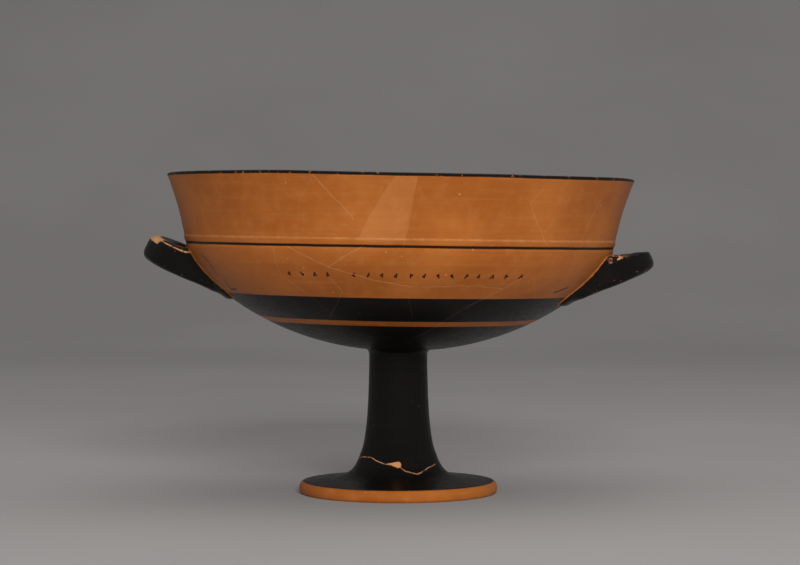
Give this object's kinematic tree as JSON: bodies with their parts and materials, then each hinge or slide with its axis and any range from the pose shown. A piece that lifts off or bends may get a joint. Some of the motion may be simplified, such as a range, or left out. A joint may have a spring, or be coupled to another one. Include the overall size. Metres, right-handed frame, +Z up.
{
  "type": "kylix drinking cup",
  "caption": "Shallow stemmed clay drinking cup with an offset flaring lip, two looped side handles, a tall stem and a disc foot.",
  "frame": {"origin": "middle of the ring that the foot rests on, at table height", "axes": "+Z up, +X out through one handle and -X through the other"},
  "size_m": [0.2529, 0.2302, 0.1584],
  "materials": {
    "fired_clay": "burnished orange clay with thin glossy black slip bands, worn and mended"
  },
  "bodies": {
    "root": {"kylix": "fired_clay"}
  },
  "joints": []
}
